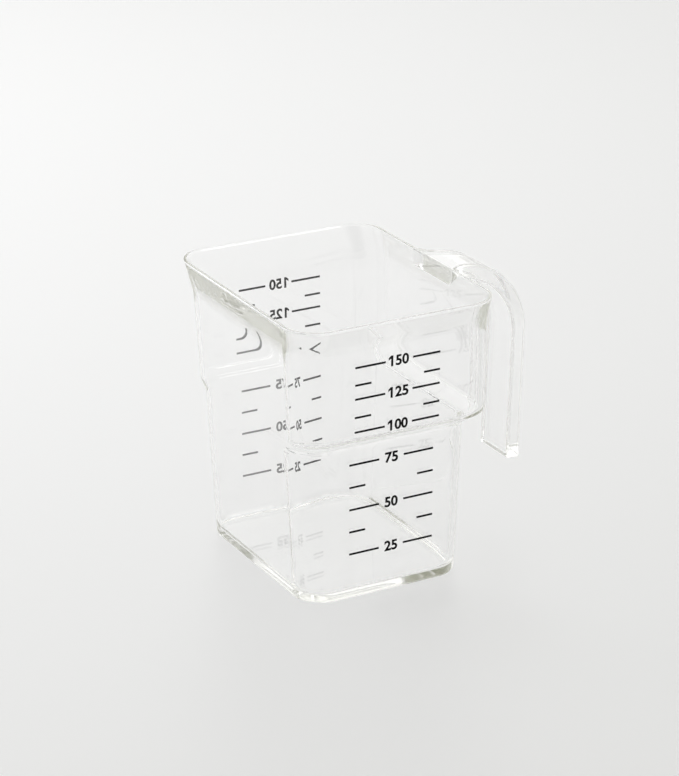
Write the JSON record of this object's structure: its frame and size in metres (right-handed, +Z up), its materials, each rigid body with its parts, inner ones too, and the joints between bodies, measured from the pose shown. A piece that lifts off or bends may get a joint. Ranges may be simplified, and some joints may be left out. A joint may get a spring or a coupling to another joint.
{
  "type": "stepped measuring cup",
  "caption": "Small clear plastic measuring cup, square in plan with a shoulder, a slanted pouring wall, an open hook handle and a printed scale on two faces.",
  "frame": {"origin": "on the resting face, under the middle of the printed scale", "axes": "+X towards the handle, +Y from the front scale to the back scale, +Z up"},
  "size_m": [0.0795, 0.0684, 0.0733],
  "materials": {
    "cup_plastic": "clear, polished",
    "handle_plastic": "clear, polished",
    "scale_ink": "black screen print"
  },
  "bodies": {
    "root": {"back_line_100_left": "scale_ink", "back_line_100_right": "scale_ink", "back_line_125_left": "scale_ink", "back_line_125_right": "scale_ink", "back_line_150_left": "scale_ink", "back_line_150_right": "scale_ink", "back_line_25_left": "scale_ink", "back_line_25_right": "scale_ink", "back_line_50_left": "scale_ink", "back_line_50_right": "scale_ink", "back_line_75_left": "scale_ink", "back_line_75_right": "scale_ink", "back_tick_over_100_left": "scale_ink", "back_tick_over_100_right": "scale_ink", "back_tick_over_125_left": "scale_ink", "back_tick_over_125_right": "scale_ink", "back_tick_over_25_left": "scale_ink", "back_tick_over_25_right": "scale_ink", "back_tick_over_50_left": "scale_ink", "back_tick_over_50_right": "scale_ink", "cup_body": "cup_plastic", "front_line_100_left": "scale_ink", "front_line_100_right": "scale_ink", "front_line_125_left": "scale_ink", "front_line_125_right": "scale_ink", "front_line_150_left": "scale_ink", "front_line_150_right": "scale_ink", "front_line_25_left": "scale_ink", "front_line_25_right": "scale_ink", "front_line_50_left": "scale_ink", "front_line_50_right": "scale_ink", "front_line_75_left": "scale_ink", "front_line_75_right": "scale_ink", "front_tick_over_100_left": "scale_ink", "front_tick_over_100_right": "scale_ink", "front_tick_over_125_left": "scale_ink", "front_tick_over_125_right": "scale_ink", "front_tick_over_25_left": "scale_ink", "front_tick_over_25_right": "scale_ink", "front_tick_over_50_left": "scale_ink", "front_tick_over_50_right": "scale_ink", "handle": "handle_plastic"}
  },
  "joints": []
}
